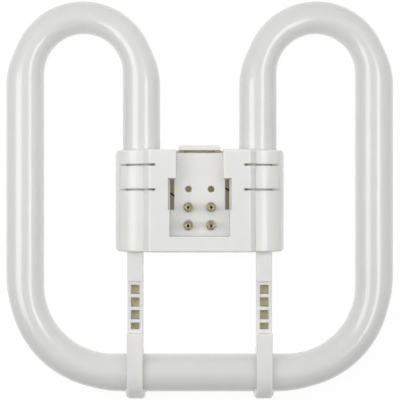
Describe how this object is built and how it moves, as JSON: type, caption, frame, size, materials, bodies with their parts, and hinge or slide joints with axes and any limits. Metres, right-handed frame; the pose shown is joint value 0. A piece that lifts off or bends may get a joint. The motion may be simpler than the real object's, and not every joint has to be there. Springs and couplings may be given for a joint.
{
  "type": "compact fluorescent lamp",
  "caption": "Flat square compact fluorescent lamp: a folded white glass tube round a moulded cap whose recess holds contact pins, with support arms that clip onto the tube.",
  "frame": {"origin": "middle of the rectangle of contact pins, on the floor of the cap's recess", "axes": "+Z is the way the pins point, out of the recess; +Y runs towards the closed loops of the glass; +X is to the right seen from the pin side"},
  "size_m": [0.1368, 0.1405, 0.0226],
  "materials": {
    "coated_glass": "clear glass, coated white inside, opaque and glossy",
    "cap_plastic": "white moulded polyester, satin",
    "clip_plastic": "white moulded polyester, satin",
    "pin_brass": "turned brass with a pale plating",
    "lead_wire": "bare nickel-iron wire, darkened by the seal's heat"
  },
  "bodies": {
    "root": {"discharge_tube": "coated_glass", "cap_front": "cap_plastic", "cap_back": "cap_plastic", "support_clip_left": "clip_plastic", "support_clip_right": "clip_plastic", "contact_pin_upper_left": "pin_brass", "contact_pin_upper_right": "pin_brass", "contact_pin_lower_left": "pin_brass", "contact_pin_lower_right": "pin_brass", "lead_wire_upper_left": "lead_wire", "lead_wire_upper_right": "lead_wire", "lead_wire_lower_left": "lead_wire", "lead_wire_lower_right": "lead_wire"}
  },
  "joints": []
}
